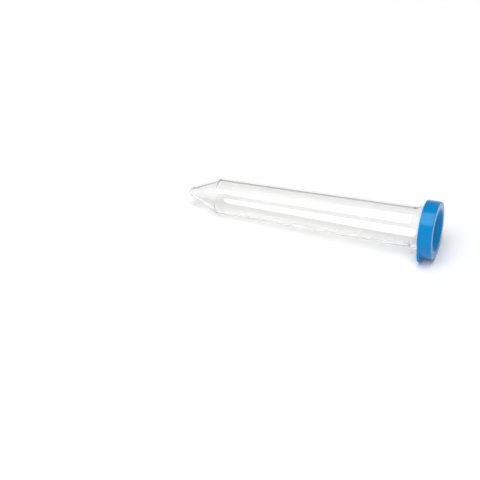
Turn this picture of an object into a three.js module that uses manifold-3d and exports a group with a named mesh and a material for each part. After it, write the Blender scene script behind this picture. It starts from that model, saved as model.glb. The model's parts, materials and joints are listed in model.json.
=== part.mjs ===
// Conical-bottom test tube with a snap cap, lying at rest on a flat surface.
// Millimetres, +Z up. The tube's axis runs along +X, with the conical tip at -X and the cap at +X.
// The origin is on the surface, under the middle of the whole part.
//
// Each piece is turned about its own Y axis. Distances along that axis are measured from the
// shoulder ring, where the straight wall starts: positive towards the mouth, negative towards the tip.
import * as THREE from "three";
import { mergeVertices } from "three/addons/utils/BufferGeometryUtils.js";
import Module from "manifold-3d";

// Tube, outside.
const TUBE_LENGTH = 100; // tip to mouth
const CONE_LENGTH = 12.1; // tip to shoulder ring
const STRAIGHT_LENGTH = 79.6; // shoulder ring to the start of the flare
const TIP_RADIUS = 2.2;
const CONE_TOP_RADIUS = 6.7; // the cone meets the shoulder here
const SHOULDER_RADIUS = 7;
const SHOULDER_LENGTH = 0.6; // the small step from the cone out to the straight wall
const NECK_RADIUS = 8.1; // wall at the start of the flare, opened out by the moulding draft
const FLARE_RADIUS = 9.85; // the trumpet's end
const FLARE_LENGTH = 4.9;
const LIP_RADIUS = 10.35;
const LIP_THICKNESS = 1;
const LIP_ROUND = 0.2;

// Tube, inside.
const WALL = 1;
const INNER_TIP_RADIUS = 1.2;
const INNER_MOUTH_RADIUS = 9.35;

// Cap.
const CAP_RADIUS = 11.2;
const CAP_HEIGHT = 5.5;
const CAP_ABOVE_MOUTH = 1.2; // closed face beyond the tube's mouth
const CAP_FACE_WALL = 0.9;
const CAP_EDGE_ROUND = 0.3;
const SKIRT_BORE_RADIUS = 10.75;
const SKIRT_LEAD_IN = 0.2;
const BEAD_RADIUS = 10.6; // snap bead behind the tube's lip
const BEAD_DEPTH = 3.05; // from the open rim to the bead's crest
const BEAD_HALF_HEIGHT = 0.3;
const PLUG_ROOT_RADIUS = 9;
const PLUG_END_RADIUS = 7.1;
const PLUG_END_DEPTH = 1.7; // the plug's flat end below the open rim
const PLUG_WALL = 0.85;
const HOLLOW_MOUTH_RADIUS = 8.6;
const HOLLOW_FLOOR_RADIUS = 6.2;

// Thumb tab: a round lug that stands out of the skirt at the open rim.
const TAB_ARC_CENTRE = 7.6; // from the cap's axis
const TAB_ARC_RADIUS = 5.65;
const TAB_THICKNESS = 1.3;
const TAB_ROOT_RADIUS = 11; // the tab's inner edge, buried in the skirt

const FACETS = 64; // round the axis, with one facet flat on the surface
const ARC_STEPS = 5;

// Stations along the axis.
const TIP = -CONE_LENGTH;
const MOUTH = TUBE_LENGTH - CONE_LENGTH;
const FLARE_END = STRAIGHT_LENGTH + FLARE_LENGTH;
const CAP_FACE = MOUTH + CAP_ABOVE_MOUTH;
const CAP_RIM = CAP_FACE - CAP_HEIGHT;
const BEAD = CAP_RIM + BEAD_DEPTH;
const PLUG_END = CAP_RIM + PLUG_END_DEPTH;
const CHANNEL_FLOOR = CAP_FACE - CAP_FACE_WALL;

// The part rests on the shoulder ring and on the cap's rim, which sets the axis's slope. It has rolled
// until the tab's round side also touches the surface, which sets the tab's angle from straight down.
const AXIS_SLOPE = Math.atan((CAP_RADIUS - SHOULDER_RADIUS) / (CAP_RIM - SHOULDER_LENGTH));
const TAB_ROLL = Math.acos((CAP_RADIUS - TAB_ARC_RADIUS) / TAB_ARC_CENTRE);

// Points on a circle of the given radius about (radius, station), from one angle to another in degrees.
function arc(centreRadius, centreStation, radius, from, to, steps = ARC_STEPS) {
  return Array.from({ length: steps + 1 }, (_, i) => {
    const angle = THREE.MathUtils.degToRad(from + ((to - from) * i) / steps);
    return new THREE.Vector2(
      centreRadius + radius * Math.cos(angle),
      centreStation + radius * Math.sin(angle),
    );
  });
}

function at(radius, station) {
  return new THREE.Vector2(radius, station);
}

// The angle, in degrees, at which a dome centred on the axis meets the cone that leaves it at a tangent
// and ends at the given radius and station.
function domeEnd(domeRadius, domeCentre, radius, station) {
  const bearing = Math.atan2(station - domeCentre, radius);
  const spread = Math.acos(domeRadius / Math.hypot(radius, station - domeCentre));
  return THREE.MathUtils.radToDeg(bearing - spread);
}

// A profile turned about Y, with a facet's middle in the direction that comes to lie straight down.
function turned(profile) {
  return new THREE.LatheGeometry(profile, FACETS, Math.PI / FACETS, 2 * Math.PI);
}

function tubeProfile() {
  const domeCentre = TIP + TIP_RADIUS;
  const innerConeRadius = SHOULDER_RADIUS - WALL;
  return [
    ...arc(0, domeCentre, TIP_RADIUS, -90, domeEnd(TIP_RADIUS, domeCentre, CONE_TOP_RADIUS, 0)),
    at(CONE_TOP_RADIUS, 0),
    at(SHOULDER_RADIUS, SHOULDER_LENGTH),
    at(NECK_RADIUS, STRAIGHT_LENGTH),
    at(FLARE_RADIUS, FLARE_END),
    at(LIP_RADIUS - LIP_ROUND, MOUTH - LIP_THICKNESS - LIP_ROUND),
    ...arc(LIP_RADIUS - LIP_ROUND, MOUTH - LIP_THICKNESS + LIP_ROUND, LIP_ROUND, -45, 0, 1),
    ...arc(LIP_RADIUS - LIP_ROUND, MOUTH - LIP_ROUND, LIP_ROUND, 0, 90, 2),
    ...arc(INNER_MOUTH_RADIUS + LIP_ROUND, MOUTH - LIP_ROUND, LIP_ROUND, 90, 180, 2),
    at(FLARE_RADIUS - WALL, FLARE_END),
    at(NECK_RADIUS - WALL, STRAIGHT_LENGTH),
    at(innerConeRadius, SHOULDER_LENGTH),
    ...arc(
      0,
      domeCentre,
      INNER_TIP_RADIUS,
      domeEnd(INNER_TIP_RADIUS, domeCentre, innerConeRadius, SHOULDER_LENGTH),
      -90,
    ),
  ];
}

function capProfile() {
  return [
    at(0, PLUG_END + PLUG_WALL),
    at(HOLLOW_FLOOR_RADIUS, PLUG_END + PLUG_WALL),
    at(HOLLOW_MOUTH_RADIUS, CAP_FACE),
    ...arc(CAP_RADIUS - CAP_EDGE_ROUND, CAP_FACE - CAP_EDGE_ROUND, CAP_EDGE_ROUND, 90, 0, 3),
    at(CAP_RADIUS, CAP_RIM),
    at(SKIRT_BORE_RADIUS + SKIRT_LEAD_IN, CAP_RIM),
    at(SKIRT_BORE_RADIUS, CAP_RIM + SKIRT_LEAD_IN),
    at(SKIRT_BORE_RADIUS, BEAD - BEAD_HALF_HEIGHT),
    at(BEAD_RADIUS, BEAD),
    at(SKIRT_BORE_RADIUS, BEAD + BEAD_HALF_HEIGHT),
    at(SKIRT_BORE_RADIUS, CHANNEL_FLOOR),
    at(PLUG_ROOT_RADIUS, CHANNEL_FLOOR),
    at(PLUG_END_RADIUS, PLUG_END),
    at(0, PLUG_END),
  ].reverse();
}

// The tab's outline in the plane of the rim: its round outer side, closed by an arc inside the skirt.
function tabGeometry() {
  const meet =
    (TAB_ARC_CENTRE ** 2 + TAB_ROOT_RADIUS ** 2 - TAB_ARC_RADIUS ** 2) /
    (2 * TAB_ARC_CENTRE * TAB_ROOT_RADIUS);
  const rootAngle = Math.acos(meet);
  const outerAngle = Math.atan2(
    TAB_ROOT_RADIUS * Math.sin(rootAngle),
    TAB_ROOT_RADIUS * Math.cos(rootAngle) - TAB_ARC_CENTRE,
  );
  const outline = new THREE.Shape();
  outline.absarc(TAB_ARC_CENTRE, 0, TAB_ARC_RADIUS, -outerAngle, outerAngle, false);
  outline.absarc(0, 0, TAB_ROOT_RADIUS, rootAngle, -rootAngle, true);
  const geometry = new THREE.ExtrudeGeometry(outline, {
    depth: TAB_THICKNESS,
    bevelEnabled: false,
    curveSegments: 20,
  });
  // The outline's X becomes -Z, straight down once the part lies along X, and its depth runs along +Y.
  geometry.applyMatrix4(
    new THREE.Matrix4().makeBasis(
      new THREE.Vector3(0, 0, -1),
      new THREE.Vector3(-1, 0, 0),
      new THREE.Vector3(0, 1, 0),
    ),
  );
  return geometry.rotateY(-TAB_ROLL).translate(0, CAP_RIM, 0);
}

const wasm = await Module();
wasm.setup();

function toSolid(geometry) {
  const bare = geometry.index ? geometry.toNonIndexed() : geometry.clone();
  bare.deleteAttribute("normal");
  bare.deleteAttribute("uv");
  const merged = mergeVertices(bare, 1e-4);
  return new wasm.Manifold(
    new wasm.Mesh({
      numProp: 3,
      vertProperties: new Float32Array(merged.attributes.position.array),
      triVerts: new Uint32Array(merged.index.array),
    }),
  );
}

function toGeometry(solid) {
  const mesh = solid.getMesh();
  const geometry = new THREE.BufferGeometry();
  geometry.setAttribute("position", new THREE.BufferAttribute(mesh.vertProperties, mesh.numProp));
  geometry.setIndex(new THREE.BufferAttribute(mesh.triVerts, 1));
  const faceted = geometry.toNonIndexed();
  faceted.computeVertexNormals();
  return faceted;
}

function piece(name, geometry, material) {
  const mesh = new THREE.Mesh(geometry, new THREE.MeshStandardMaterial(material));
  mesh.name = name;
  return mesh;
}

function tubeBody() {
  return piece("tube_body", turned(tubeProfile()), {
    color: 0xf4f6f6,
    roughness: 0.04,
    metalness: 0,
    transparent: true,
    opacity: 0.3,
  });
}

function snapCap() {
  const withTab = toSolid(turned(capProfile())).add(toSolid(tabGeometry()));
  return piece("snap_cap", toGeometry(withTab), {
    color: 0x0089cf,
    roughness: 0.32,
    metalness: 0,
  });
}

// Lays the turned pieces down: their Y axis becomes +X, raised by the axis's slope.
const pieces = new THREE.Group();
pieces.add(tubeBody(), snapCap());
pieces.rotation.set(0, -AXIS_SLOPE, -Math.PI / 2, "YZX");

const testTube = new THREE.Group();
testTube.name = "test_tube";
testTube.add(pieces);
const extent = new THREE.Box3().setFromObject(testTube, true);
const centre = extent.getCenter(new THREE.Vector3());
pieces.position.set(-centre.x, -centre.y, -extent.min.z);

export default testTube;
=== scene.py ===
"""Looks of the capped conical test tube: a clear moulded tube and its blue snap cap on a pale floor.

The two turned pieces are made in the tube's own measure, in millimetres, as (radius, station) outlines.
A station is a distance along the axis from the shoulder ring, positive towards the mouth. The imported
model says where the axis lies, and turned pieces are placed on it in metres.
"""

import json
import math

import bpy
from mathutils import Matrix, Vector


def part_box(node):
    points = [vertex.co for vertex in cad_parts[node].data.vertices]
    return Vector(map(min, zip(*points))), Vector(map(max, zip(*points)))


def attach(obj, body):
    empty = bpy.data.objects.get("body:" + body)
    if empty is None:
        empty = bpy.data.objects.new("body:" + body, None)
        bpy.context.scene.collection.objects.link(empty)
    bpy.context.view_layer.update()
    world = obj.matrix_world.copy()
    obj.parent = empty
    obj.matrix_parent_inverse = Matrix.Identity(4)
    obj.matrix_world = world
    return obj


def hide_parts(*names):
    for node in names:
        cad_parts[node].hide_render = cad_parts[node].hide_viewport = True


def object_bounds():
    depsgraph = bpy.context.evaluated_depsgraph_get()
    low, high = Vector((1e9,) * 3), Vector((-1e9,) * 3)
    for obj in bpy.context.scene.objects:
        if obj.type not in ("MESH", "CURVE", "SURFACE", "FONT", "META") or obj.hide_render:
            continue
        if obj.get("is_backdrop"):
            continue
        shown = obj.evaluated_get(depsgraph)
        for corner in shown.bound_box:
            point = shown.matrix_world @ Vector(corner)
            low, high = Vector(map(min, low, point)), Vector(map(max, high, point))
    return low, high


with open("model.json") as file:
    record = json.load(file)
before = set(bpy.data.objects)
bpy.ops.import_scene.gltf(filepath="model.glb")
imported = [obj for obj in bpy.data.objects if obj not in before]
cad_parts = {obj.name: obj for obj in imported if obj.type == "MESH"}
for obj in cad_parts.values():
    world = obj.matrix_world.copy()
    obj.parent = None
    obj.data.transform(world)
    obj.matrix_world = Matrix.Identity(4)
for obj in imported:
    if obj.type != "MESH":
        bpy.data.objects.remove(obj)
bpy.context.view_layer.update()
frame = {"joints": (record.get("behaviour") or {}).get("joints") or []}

MM = 0.001

# Tube, outside.
TUBE_LENGTH = 100.0
CONE_LENGTH = 12.1
STRAIGHT_LENGTH = 79.6
TIP_RADIUS = 2.2
CONE_TOP_RADIUS = 6.7
CONE_TOP_ROUND = 0.1
SHOULDER_RADIUS = 7.0
SHOULDER_LENGTH = 0.6
SHOULDER_ROUND = 0.4
NECK_RADIUS = 8.1
NECK_ROUND = 0.15
FLARE_RADIUS = 9.85
FLARE_LENGTH = 4.9
FLARE_ROUND = 2.5

# The tube's lip. The flare runs into its back, and its outer edge stands out a little further on.
LIP_RADIUS = 10.42
LIP_ROUND = 0.3
LIP_EDGE_BEHIND_MOUTH = 0.95
LIP_EDGE_ROUND = 0.18
LIP_BACK_RADIUS = 10.12
LIP_BACK_BEHIND_MOUTH = 1.15
LIP_BACK_ROUND = 0.15

# Tube, inside.
WALL = 1.0
INNER_TIP_RADIUS = 1.2
INNER_SHOULDER_ROUND = 0.3
INNER_NECK_ROUND = 0.2
INNER_MOUTH_RADIUS = 9.4

# Cap.
CAP_RADIUS = 11.2
CAP_HEIGHT = 5.5
CAP_ABOVE_MOUTH = 1.2
CAP_FACE_WALL = 0.9
CAP_FACE_ROUND = 0.35
CAP_RIM_ROUND = 0.14
SKIRT_BORE_RADIUS = 10.62
SKIRT_BORE_ROUND = 0.2
GROOVE_ROUND = 0.25
BEAD_RADIUS = 10.47
BEAD_DEPTH = 3.05
BEAD_HALF_HEIGHT = 0.32
BEAD_ROUND = 0.15
BEAD_FOOT_ROUND = 0.2
PLUG_ROOT_RADIUS = 9.0
PLUG_ROOT_ROUND = 0.3
PLUG_END_RADIUS = 7.1
PLUG_END_ROUND = 0.45
PLUG_END_DEPTH = 1.7
PLUG_WALL = 0.85
HOLLOW_MOUTH_RADIUS = 8.6
HOLLOW_MOUTH_ROUND = 0.18
HOLLOW_FLOOR_RADIUS = 6.2
HOLLOW_FLOOR_ROUND = 0.6

# The gate mark in the middle of the plug's end.
GATE_RADIUS = 0.45
GATE_ROUND = 0.08
GATE_HEIGHT = 0.12
GATE_FOOT_RADIUS = 0.55
GATE_FOOT_ROUND = 0.1

# Thumb tab.
TAB_ARC_CENTRE = 7.6
TAB_ARC_RADIUS = 5.65
TAB_THICKNESS = 1.3
TAB_FILLET = 0.5  # where its outline runs into the skirt
TAB_DRAFT = 0.3  # along the axis, from the tab's full reach back to the skirt
TAB_SKIN = 0.2  # how far under the skirt's outside the cap's outline follows the tab
TAB_ROWS = 10  # steps of the outline over the draft

# Stations along the axis.
TIP = -CONE_LENGTH
DOME_CENTRE = TIP + TIP_RADIUS
MOUTH = TUBE_LENGTH - CONE_LENGTH
FLARE_END = STRAIGHT_LENGTH + FLARE_LENGTH
CAP_FACE = MOUTH + CAP_ABOVE_MOUTH
CAP_RIM = CAP_FACE - CAP_HEIGHT
BEAD = CAP_RIM + BEAD_DEPTH
PLUG_END = CAP_RIM + PLUG_END_DEPTH
CHANNEL_FLOOR = CAP_FACE - CAP_FACE_WALL
HOLLOW_FLOOR = PLUG_END + PLUG_WALL

# The tab's angle from straight down, towards -Y: the cap has rolled until the tab touches the floor.
TAB_ROLL = -math.acos((CAP_RADIUS - TAB_ARC_RADIUS) / TAB_ARC_CENTRE)

# Mesh.
TURNS = 224  # facets round a turned piece
ARC_STEP = math.radians(9)
LONGEST_STEP = 4.0  # mm, along a straight stretch
DOME_ROUND = 0.99  # of a dome's radius, so that its arc begins just off the axis

# Camera. It looks at a point on the floor.
CAMERA_AZIMUTH, CAMERA_ELEVATION = math.radians(19.5), math.radians(36.94)
CAMERA_DISTANCE = 0.571
LENS = 109.6  # mm
SENSOR = 36  # mm
AIM_FROM_SHOULDER, AIM_Y = 0.01485, -0.01632  # metres, along X from the shoulder ring, and in Y

# Light. Radiances are on a scale where the lit white floor has about 1.
KEY = 5.0
KEY_SIZE = (1.6, 2.4)
KEY_PLACE = (-0.4, 0.56, 2.4)  # to the right, towards the camera and up, metres
KEY_AIM = (0, 0, 0.01)
SKY = ((0, 0.8), (0.1, 0.8), (0.2, 0.6), (0.5, 0.6), (0.7, 0.25), (1, 0.25))  # (sine of elevation, radiance)
SKY_TILT = (0.1, 0.4)  # how much brighter it is to the right and towards the camera

FLOOR_SIZE = 4  # metres
FLOOR_GAP = 0.02  # mm, under the part


def tube_axis():
    """The matrix from (down, side, station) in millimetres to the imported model's metres."""
    along = Vector(frame["joints"][0]["axis"]).normalized()
    side = Vector((0, 1, 0))
    down = side.cross(along)
    low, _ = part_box("tube_body")
    dome = Vector((low.x + TIP_RADIUS * MM, 0, 0))
    origin = dome - along * DOME_CENTRE * MM
    origin.z = low.z + (SHOULDER_RADIUS * along.x - SHOULDER_LENGTH * along.z) * MM
    turn = Matrix((down, side, along)).transposed().to_4x4()
    return Matrix.Translation(origin) @ turn @ Matrix.Scale(MM, 4)


def heading(a, b):
    return (b - a).normalized()


def outline(corners):
    """(radius, station, normal) along straight lines between corners, each (radius, station, rounding).

    The solid lies to the left of the way the outline runs. Normals point out of it.
    """
    places = [Vector(c[:2]) for c in corners]
    points = []

    def add(place, way):
        if points and (points[-1][0] - place).length > LONGEST_STEP:
            start, normal = points[-1]
            count = math.ceil((place - start).length / LONGEST_STEP)
            points.extend((start.lerp(place, i / count), normal) for i in range(1, count))
        points.append((place, Vector((way.y, -way.x))))

    add(places[0], heading(places[0], places[1]))
    for before, here, after, (_, _, rounding) in zip(places, places[1:], places[2:], corners[1:]):
        into, out = heading(before, here), heading(here, after)
        if not rounding:
            add(here, out)
            continue
        turn = math.atan2(into.x * out.y - into.y * out.x, into.dot(out))
        start = here - into * rounding * math.tan(abs(turn) / 2)
        centre = start + Vector((-into.y, into.x)) * math.copysign(rounding, turn)
        count = max(2, math.ceil(abs(turn) / ARC_STEP))
        for i in range(count + 1):
            spin = Matrix.Rotation(turn * i / count, 2)
            add(centre + spin @ (start - centre), spin @ into)
    add(places[-1], heading(places[-2], places[-1]))
    return [(p.x, p.y, n) for p, n in points]


def ring_faces(low, high):
    """Faces between two rows of vertices round the axis. A row of one vertex is a point on the axis."""
    faces = []
    for j in range(TURNS):
        k = (j + 1) % TURNS
        if len(low) == 1:
            faces.append((low[0], high[k], high[j]))
        elif len(high) == 1:
            faces.append((low[j], low[k], high[0]))
        else:
            faces.append((low[j], low[k], high[k], high[j]))
    return faces


def turned(name, profile, reach=None):
    """A closed mesh from an outline that starts and ends on the axis, and its vertices' normals.

    reach(angle, station, radius) is how much further out a point of the outline lies, in millimetres.
    """
    place = tube_axis()
    spin = place.to_3x3().normalized()
    verts, normals, rows = [], [], []
    for radius, station, normal in profile:
        on_axis = radius < 1e-6
        row = []
        for j in range(1 if on_axis else TURNS):
            angle = 2 * math.pi * j / TURNS
            down, side = math.cos(angle), math.sin(angle)
            out = radius + (reach(angle, station, radius) if reach else 0)
            row.append(len(verts))
            verts.append(place @ Vector((out * down, out * side, station)))
            normals.append(spin @ Vector((normal.x * down, normal.x * side, normal.y)))
        rows.append(row)
    faces = [face for low, high in zip(rows, rows[1:]) for face in ring_faces(low, high)]
    mesh = bpy.data.meshes.new(name)
    mesh.from_pydata(verts, [], faces)
    mesh.validate()
    mesh.polygons.foreach_set("use_smooth", [True] * len(mesh.polygons))
    piece = bpy.data.objects.new(name, mesh)
    bpy.context.scene.collection.objects.link(piece)
    return piece, normals


def dome_corner(dome_radius, radius, station):
    """The radius at which a cone from the tip's dome to (radius, station) would meet the dome's end plane."""
    rise = station - DOME_CENTRE
    tangent = math.atan2(rise, radius) - math.acos(dome_radius / math.hypot(radius, rise))
    return dome_radius * math.tan((tangent + math.pi / 2) / 2)


def tube_outline():
    inner_shoulder = SHOULDER_RADIUS - WALL
    inner_tip = DOME_CENTRE - INNER_TIP_RADIUS
    outer_corner = dome_corner(TIP_RADIUS, CONE_TOP_RADIUS, 0)
    inner_corner = dome_corner(INNER_TIP_RADIUS, inner_shoulder, SHOULDER_LENGTH)
    return outline([
        (0, TIP, 0),
        (outer_corner, TIP, TIP_RADIUS * DOME_ROUND),
        (CONE_TOP_RADIUS, 0, CONE_TOP_ROUND),
        (SHOULDER_RADIUS, SHOULDER_LENGTH, SHOULDER_ROUND),
        (NECK_RADIUS, STRAIGHT_LENGTH, NECK_ROUND),
        (FLARE_RADIUS, FLARE_END, FLARE_ROUND),
        (LIP_BACK_RADIUS, MOUTH - LIP_BACK_BEHIND_MOUTH, LIP_BACK_ROUND),
        (LIP_RADIUS, MOUTH - LIP_EDGE_BEHIND_MOUTH, LIP_EDGE_ROUND),
        (LIP_RADIUS, MOUTH, LIP_ROUND),
        (INNER_MOUTH_RADIUS, MOUTH, LIP_ROUND),
        (FLARE_RADIUS - WALL, FLARE_END, FLARE_ROUND),
        (NECK_RADIUS - WALL, STRAIGHT_LENGTH, INNER_NECK_ROUND),
        (inner_shoulder, SHOULDER_LENGTH, INNER_SHOULDER_ROUND),
        (inner_corner, inner_tip, INNER_TIP_RADIUS * DOME_ROUND),
        (0, inner_tip, 0),
    ])


def cap_outline():
    draft_start = CAP_RIM + TAB_THICKNESS - TAB_DRAFT
    draft = [(CAP_RADIUS, draft_start + TAB_DRAFT * i / TAB_ROWS, 0) for i in range(TAB_ROWS + 1)]
    return outline([
        (0, PLUG_END - GATE_HEIGHT, 0),
        (GATE_RADIUS, PLUG_END - GATE_HEIGHT, GATE_ROUND),
        (GATE_FOOT_RADIUS, PLUG_END, GATE_FOOT_ROUND),
        (PLUG_END_RADIUS, PLUG_END, PLUG_END_ROUND),
        (PLUG_ROOT_RADIUS, CHANNEL_FLOOR, PLUG_ROOT_ROUND),
        (SKIRT_BORE_RADIUS, CHANNEL_FLOOR, GROOVE_ROUND),
        (SKIRT_BORE_RADIUS, BEAD + BEAD_HALF_HEIGHT, BEAD_FOOT_ROUND),
        (BEAD_RADIUS, BEAD, BEAD_ROUND),
        (SKIRT_BORE_RADIUS, BEAD - BEAD_HALF_HEIGHT, BEAD_FOOT_ROUND),
        (SKIRT_BORE_RADIUS, CAP_RIM, SKIRT_BORE_ROUND),
        (CAP_RADIUS, CAP_RIM, CAP_RIM_ROUND),
        *draft,
        (CAP_RADIUS, CAP_FACE, CAP_FACE_ROUND),
        (HOLLOW_MOUTH_RADIUS, CAP_FACE, HOLLOW_MOUTH_ROUND),
        (HOLLOW_FLOOR_RADIUS, HOLLOW_FLOOR, HOLLOW_FLOOR_ROUND),
        (0, HOLLOW_FLOOR, 0),
    ])


def tab_reach(angle, station, radius):
    """How far the tab stands out of the skirt's outside at an angle from straight down."""
    above = station - (CAP_RIM + TAB_THICKNESS - TAB_DRAFT)
    if radius < CAP_RADIUS - TAB_SKIN or above > TAB_DRAFT:
        return 0.0
    off = angle - TAB_ROLL
    chord = TAB_ARC_RADIUS**2 - (TAB_ARC_CENTRE * math.sin(off)) ** 2
    if math.cos(off) < 0 or chord < 0:
        return 0.0
    gap = TAB_ARC_CENTRE * math.cos(off) + math.sqrt(chord) - CAP_RADIUS
    blend = max(TAB_FILLET - abs(gap), 0) / TAB_FILLET
    full = max(gap, 0) + blend**2 * TAB_FILLET / 4  # a smooth maximum of the tab and the skirt
    t = min(max(above / TAB_DRAFT, 0), 1)
    return full * (1 - t * t * (3 - 2 * t))  # eased from the full reach to none over the draft


def node_tree(material):
    material.use_nodes = True
    tree = material.node_tree
    return tree, tree.nodes["Principled BSDF"]


def noise(tree, scale, detail, stretch=(1, 1, 1)):
    """A noise in the piece's own coordinates, in features per metre."""
    where = tree.nodes.new("ShaderNodeTexCoord")
    spread = tree.nodes.new("ShaderNodeMapping")
    spread.inputs["Scale"].default_value = stretch
    texture = tree.nodes.new("ShaderNodeTexNoise")
    texture.inputs["Scale"].default_value = scale
    texture.inputs["Detail"].default_value = detail
    tree.links.new(where.outputs["Object"], spread.inputs["Vector"])
    tree.links.new(spread.outputs["Vector"], texture.inputs["Vector"])
    return texture.outputs["Fac"]


def ramp(tree, value, low, high):
    """value from 0 to 1 spread over low to high."""
    spread = tree.nodes.new("ShaderNodeMapRange")
    spread.inputs["To Min"].default_value = low
    spread.inputs["To Max"].default_value = high
    tree.links.new(value, spread.inputs["Value"])
    return spread.outputs["Result"]


def bump(tree, height, strength, distance):
    node = tree.nodes.new("ShaderNodeBump")
    node.inputs["Strength"].default_value = strength
    node.inputs["Distance"].default_value = distance
    tree.links.new(height, node.inputs["Height"])
    return node.outputs["Normal"]


def clear_polystyrene():
    """Clear plastic with faint flow lines that run along the tube."""
    material = bpy.data.materials.new("clear_polystyrene")
    tree, shader = node_tree(material)
    shader.inputs["Base Color"].default_value = (0.985, 0.983, 0.98, 1)
    shader.inputs["Transmission Weight"].default_value = 1.0
    shader.inputs["IOR"].default_value = 1.59
    tree.links.new(ramp(tree, noise(tree, 90, 3), 0.02, 0.06), shader.inputs["Roughness"])
    flow = noise(tree, 260, 2, stretch=(0.15, 1, 1))
    tree.links.new(bump(tree, flow, 0.05, 0.02 * MM), shader.inputs["Normal"])
    return material


def blue_polyethylene():
    """Opaque, waxy blue plastic, slightly cloudy, with a fine grain."""
    material = bpy.data.materials.new("blue_polyethylene")
    tree, shader = node_tree(material)
    mix = tree.nodes.new("ShaderNodeMix")
    mix.data_type = "RGBA"
    mix.inputs["A"].default_value = (0.0, 0.190, 0.485, 1)
    mix.inputs["B"].default_value = (0.0, 0.212, 0.535, 1)
    tree.links.new(noise(tree, 350, 4), mix.inputs["Factor"])
    tree.links.new(mix.outputs["Result"], shader.inputs["Base Color"])
    shader.inputs["IOR"].default_value = 1.51
    shader.inputs["Specular IOR Level"].default_value = 0.3
    shader.inputs["Specular Tint"].default_value = (0.5, 0.95, 1, 1)
    tree.links.new(ramp(tree, noise(tree, 1500, 5), 0.14, 0.25), shader.inputs["Roughness"])
    tree.links.new(bump(tree, noise(tree, 4200, 4), 0.15, 0.012 * MM), shader.inputs["Normal"])
    return material


def white_sweep():
    material = bpy.data.materials.new("white_sweep")
    _, shader = node_tree(material)
    shader.inputs["Base Color"].default_value = (0.9, 0.9, 0.9, 1)
    shader.inputs["Roughness"].default_value = 0.8
    shader.inputs["Specular IOR Level"].default_value = 0.1
    return material


def tube():
    piece, normals = turned("clear_tube", tube_outline())
    piece.data.materials.append(clear_polystyrene())
    piece.data.normals_split_custom_set_from_vertices(normals)
    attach(piece, "tube")
    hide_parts("tube_body")


def cap():
    piece, _ = turned("blue_snap_cap", cap_outline(), tab_reach)
    piece.data.materials.append(blue_polyethylene())
    weighted = piece.modifiers.new("weighted_normals", "WEIGHTED_NORMAL")
    weighted.weight = 60
    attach(piece, "cap")
    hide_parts("snap_cap")


def floor():
    low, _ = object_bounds()
    bpy.ops.mesh.primitive_plane_add(size=FLOOR_SIZE, location=(0, 0, low.z - FLOOR_GAP * MM))
    plane = bpy.context.object
    plane.name = "floor"
    plane.data.materials.append(white_sweep())
    plane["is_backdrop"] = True


def aim(thing, target):
    thing.rotation_euler = (target - thing.location).to_track_quat("-Z", "Y").to_euler()


def toward_camera():
    return Vector((math.sin(CAMERA_AZIMUTH), -math.cos(CAMERA_AZIMUTH), 0))


def to_the_right():
    return Vector((math.cos(CAMERA_AZIMUTH), math.sin(CAMERA_AZIMUTH), 0))


def camera():
    data = bpy.data.cameras.new("camera")
    data.lens = LENS
    data.sensor_width = SENSOR
    view = bpy.data.objects.new("camera", data)
    bpy.context.scene.collection.objects.link(view)
    bpy.context.scene.camera = view
    shoulder = tube_axis().translation
    target = Vector((shoulder.x + AIM_FROM_SHOULDER, AIM_Y, 0))
    back = toward_camera() * math.cos(CAMERA_ELEVATION)
    back.z = math.sin(CAMERA_ELEVATION)
    view.location = target + back * CAMERA_DISTANCE
    aim(view, target)


def softbox(name, place, target, width, depth, radiance):
    """A rectangular lamp of an even radiance."""
    data = bpy.data.lights.new(name, "AREA")
    data.shape = "RECTANGLE"
    data.size, data.size_y = width, depth
    data.energy = radiance * math.pi * width * depth
    lamp = bpy.data.objects.new(name, data)
    bpy.context.scene.collection.objects.link(lamp)
    lamp.location = place
    aim(lamp, target)


def sky():
    """A pale studio, dimmer overhead, and a little brighter towards the camera and to the right."""
    world = bpy.data.worlds.new("studio")
    bpy.context.scene.world = world
    world.use_nodes = True
    tree = world.node_tree
    background = tree.nodes["Background"]
    where = tree.nodes.new("ShaderNodeTexCoord")
    split = tree.nodes.new("ShaderNodeSeparateXYZ")
    tree.links.new(where.outputs["Generated"], split.inputs["Vector"])
    shade = tree.nodes.new("ShaderNodeValToRGB")
    stops = shade.color_ramp.elements
    while len(stops) < len(SKY):
        stops.new(0.5)
    for stop, (height, radiance) in zip(stops, SKY):
        stop.position = height
        stop.color = (radiance, radiance, radiance, 1)
    tree.links.new(split.outputs["Z"], shade.inputs["Fac"])
    facing = tree.nodes.new("ShaderNodeVectorMath")
    facing.operation = "DOT_PRODUCT"
    facing.inputs[1].default_value = to_the_right() * SKY_TILT[0] + toward_camera() * SKY_TILT[1]
    tree.links.new(where.outputs["Generated"], facing.inputs[0])
    tilt = tree.nodes.new("ShaderNodeMath")
    tilt.inputs[1].default_value = 1
    tree.links.new(facing.outputs["Value"], tilt.inputs[0])
    tree.links.new(shade.outputs["Color"], background.inputs["Color"])
    tree.links.new(tilt.outputs["Value"], background.inputs["Strength"])


def lights():
    across, near, height = KEY_PLACE
    place = to_the_right() * across + toward_camera() * near + Vector((0, 0, height))
    softbox("key", place, Vector(KEY_AIM), *KEY_SIZE, KEY)
    sky()


tube()
cap()
floor()
camera()
lights()
bpy.context.scene.view_settings.view_transform = "Standard"
bpy.context.scene.cycles.blur_glossy = 0
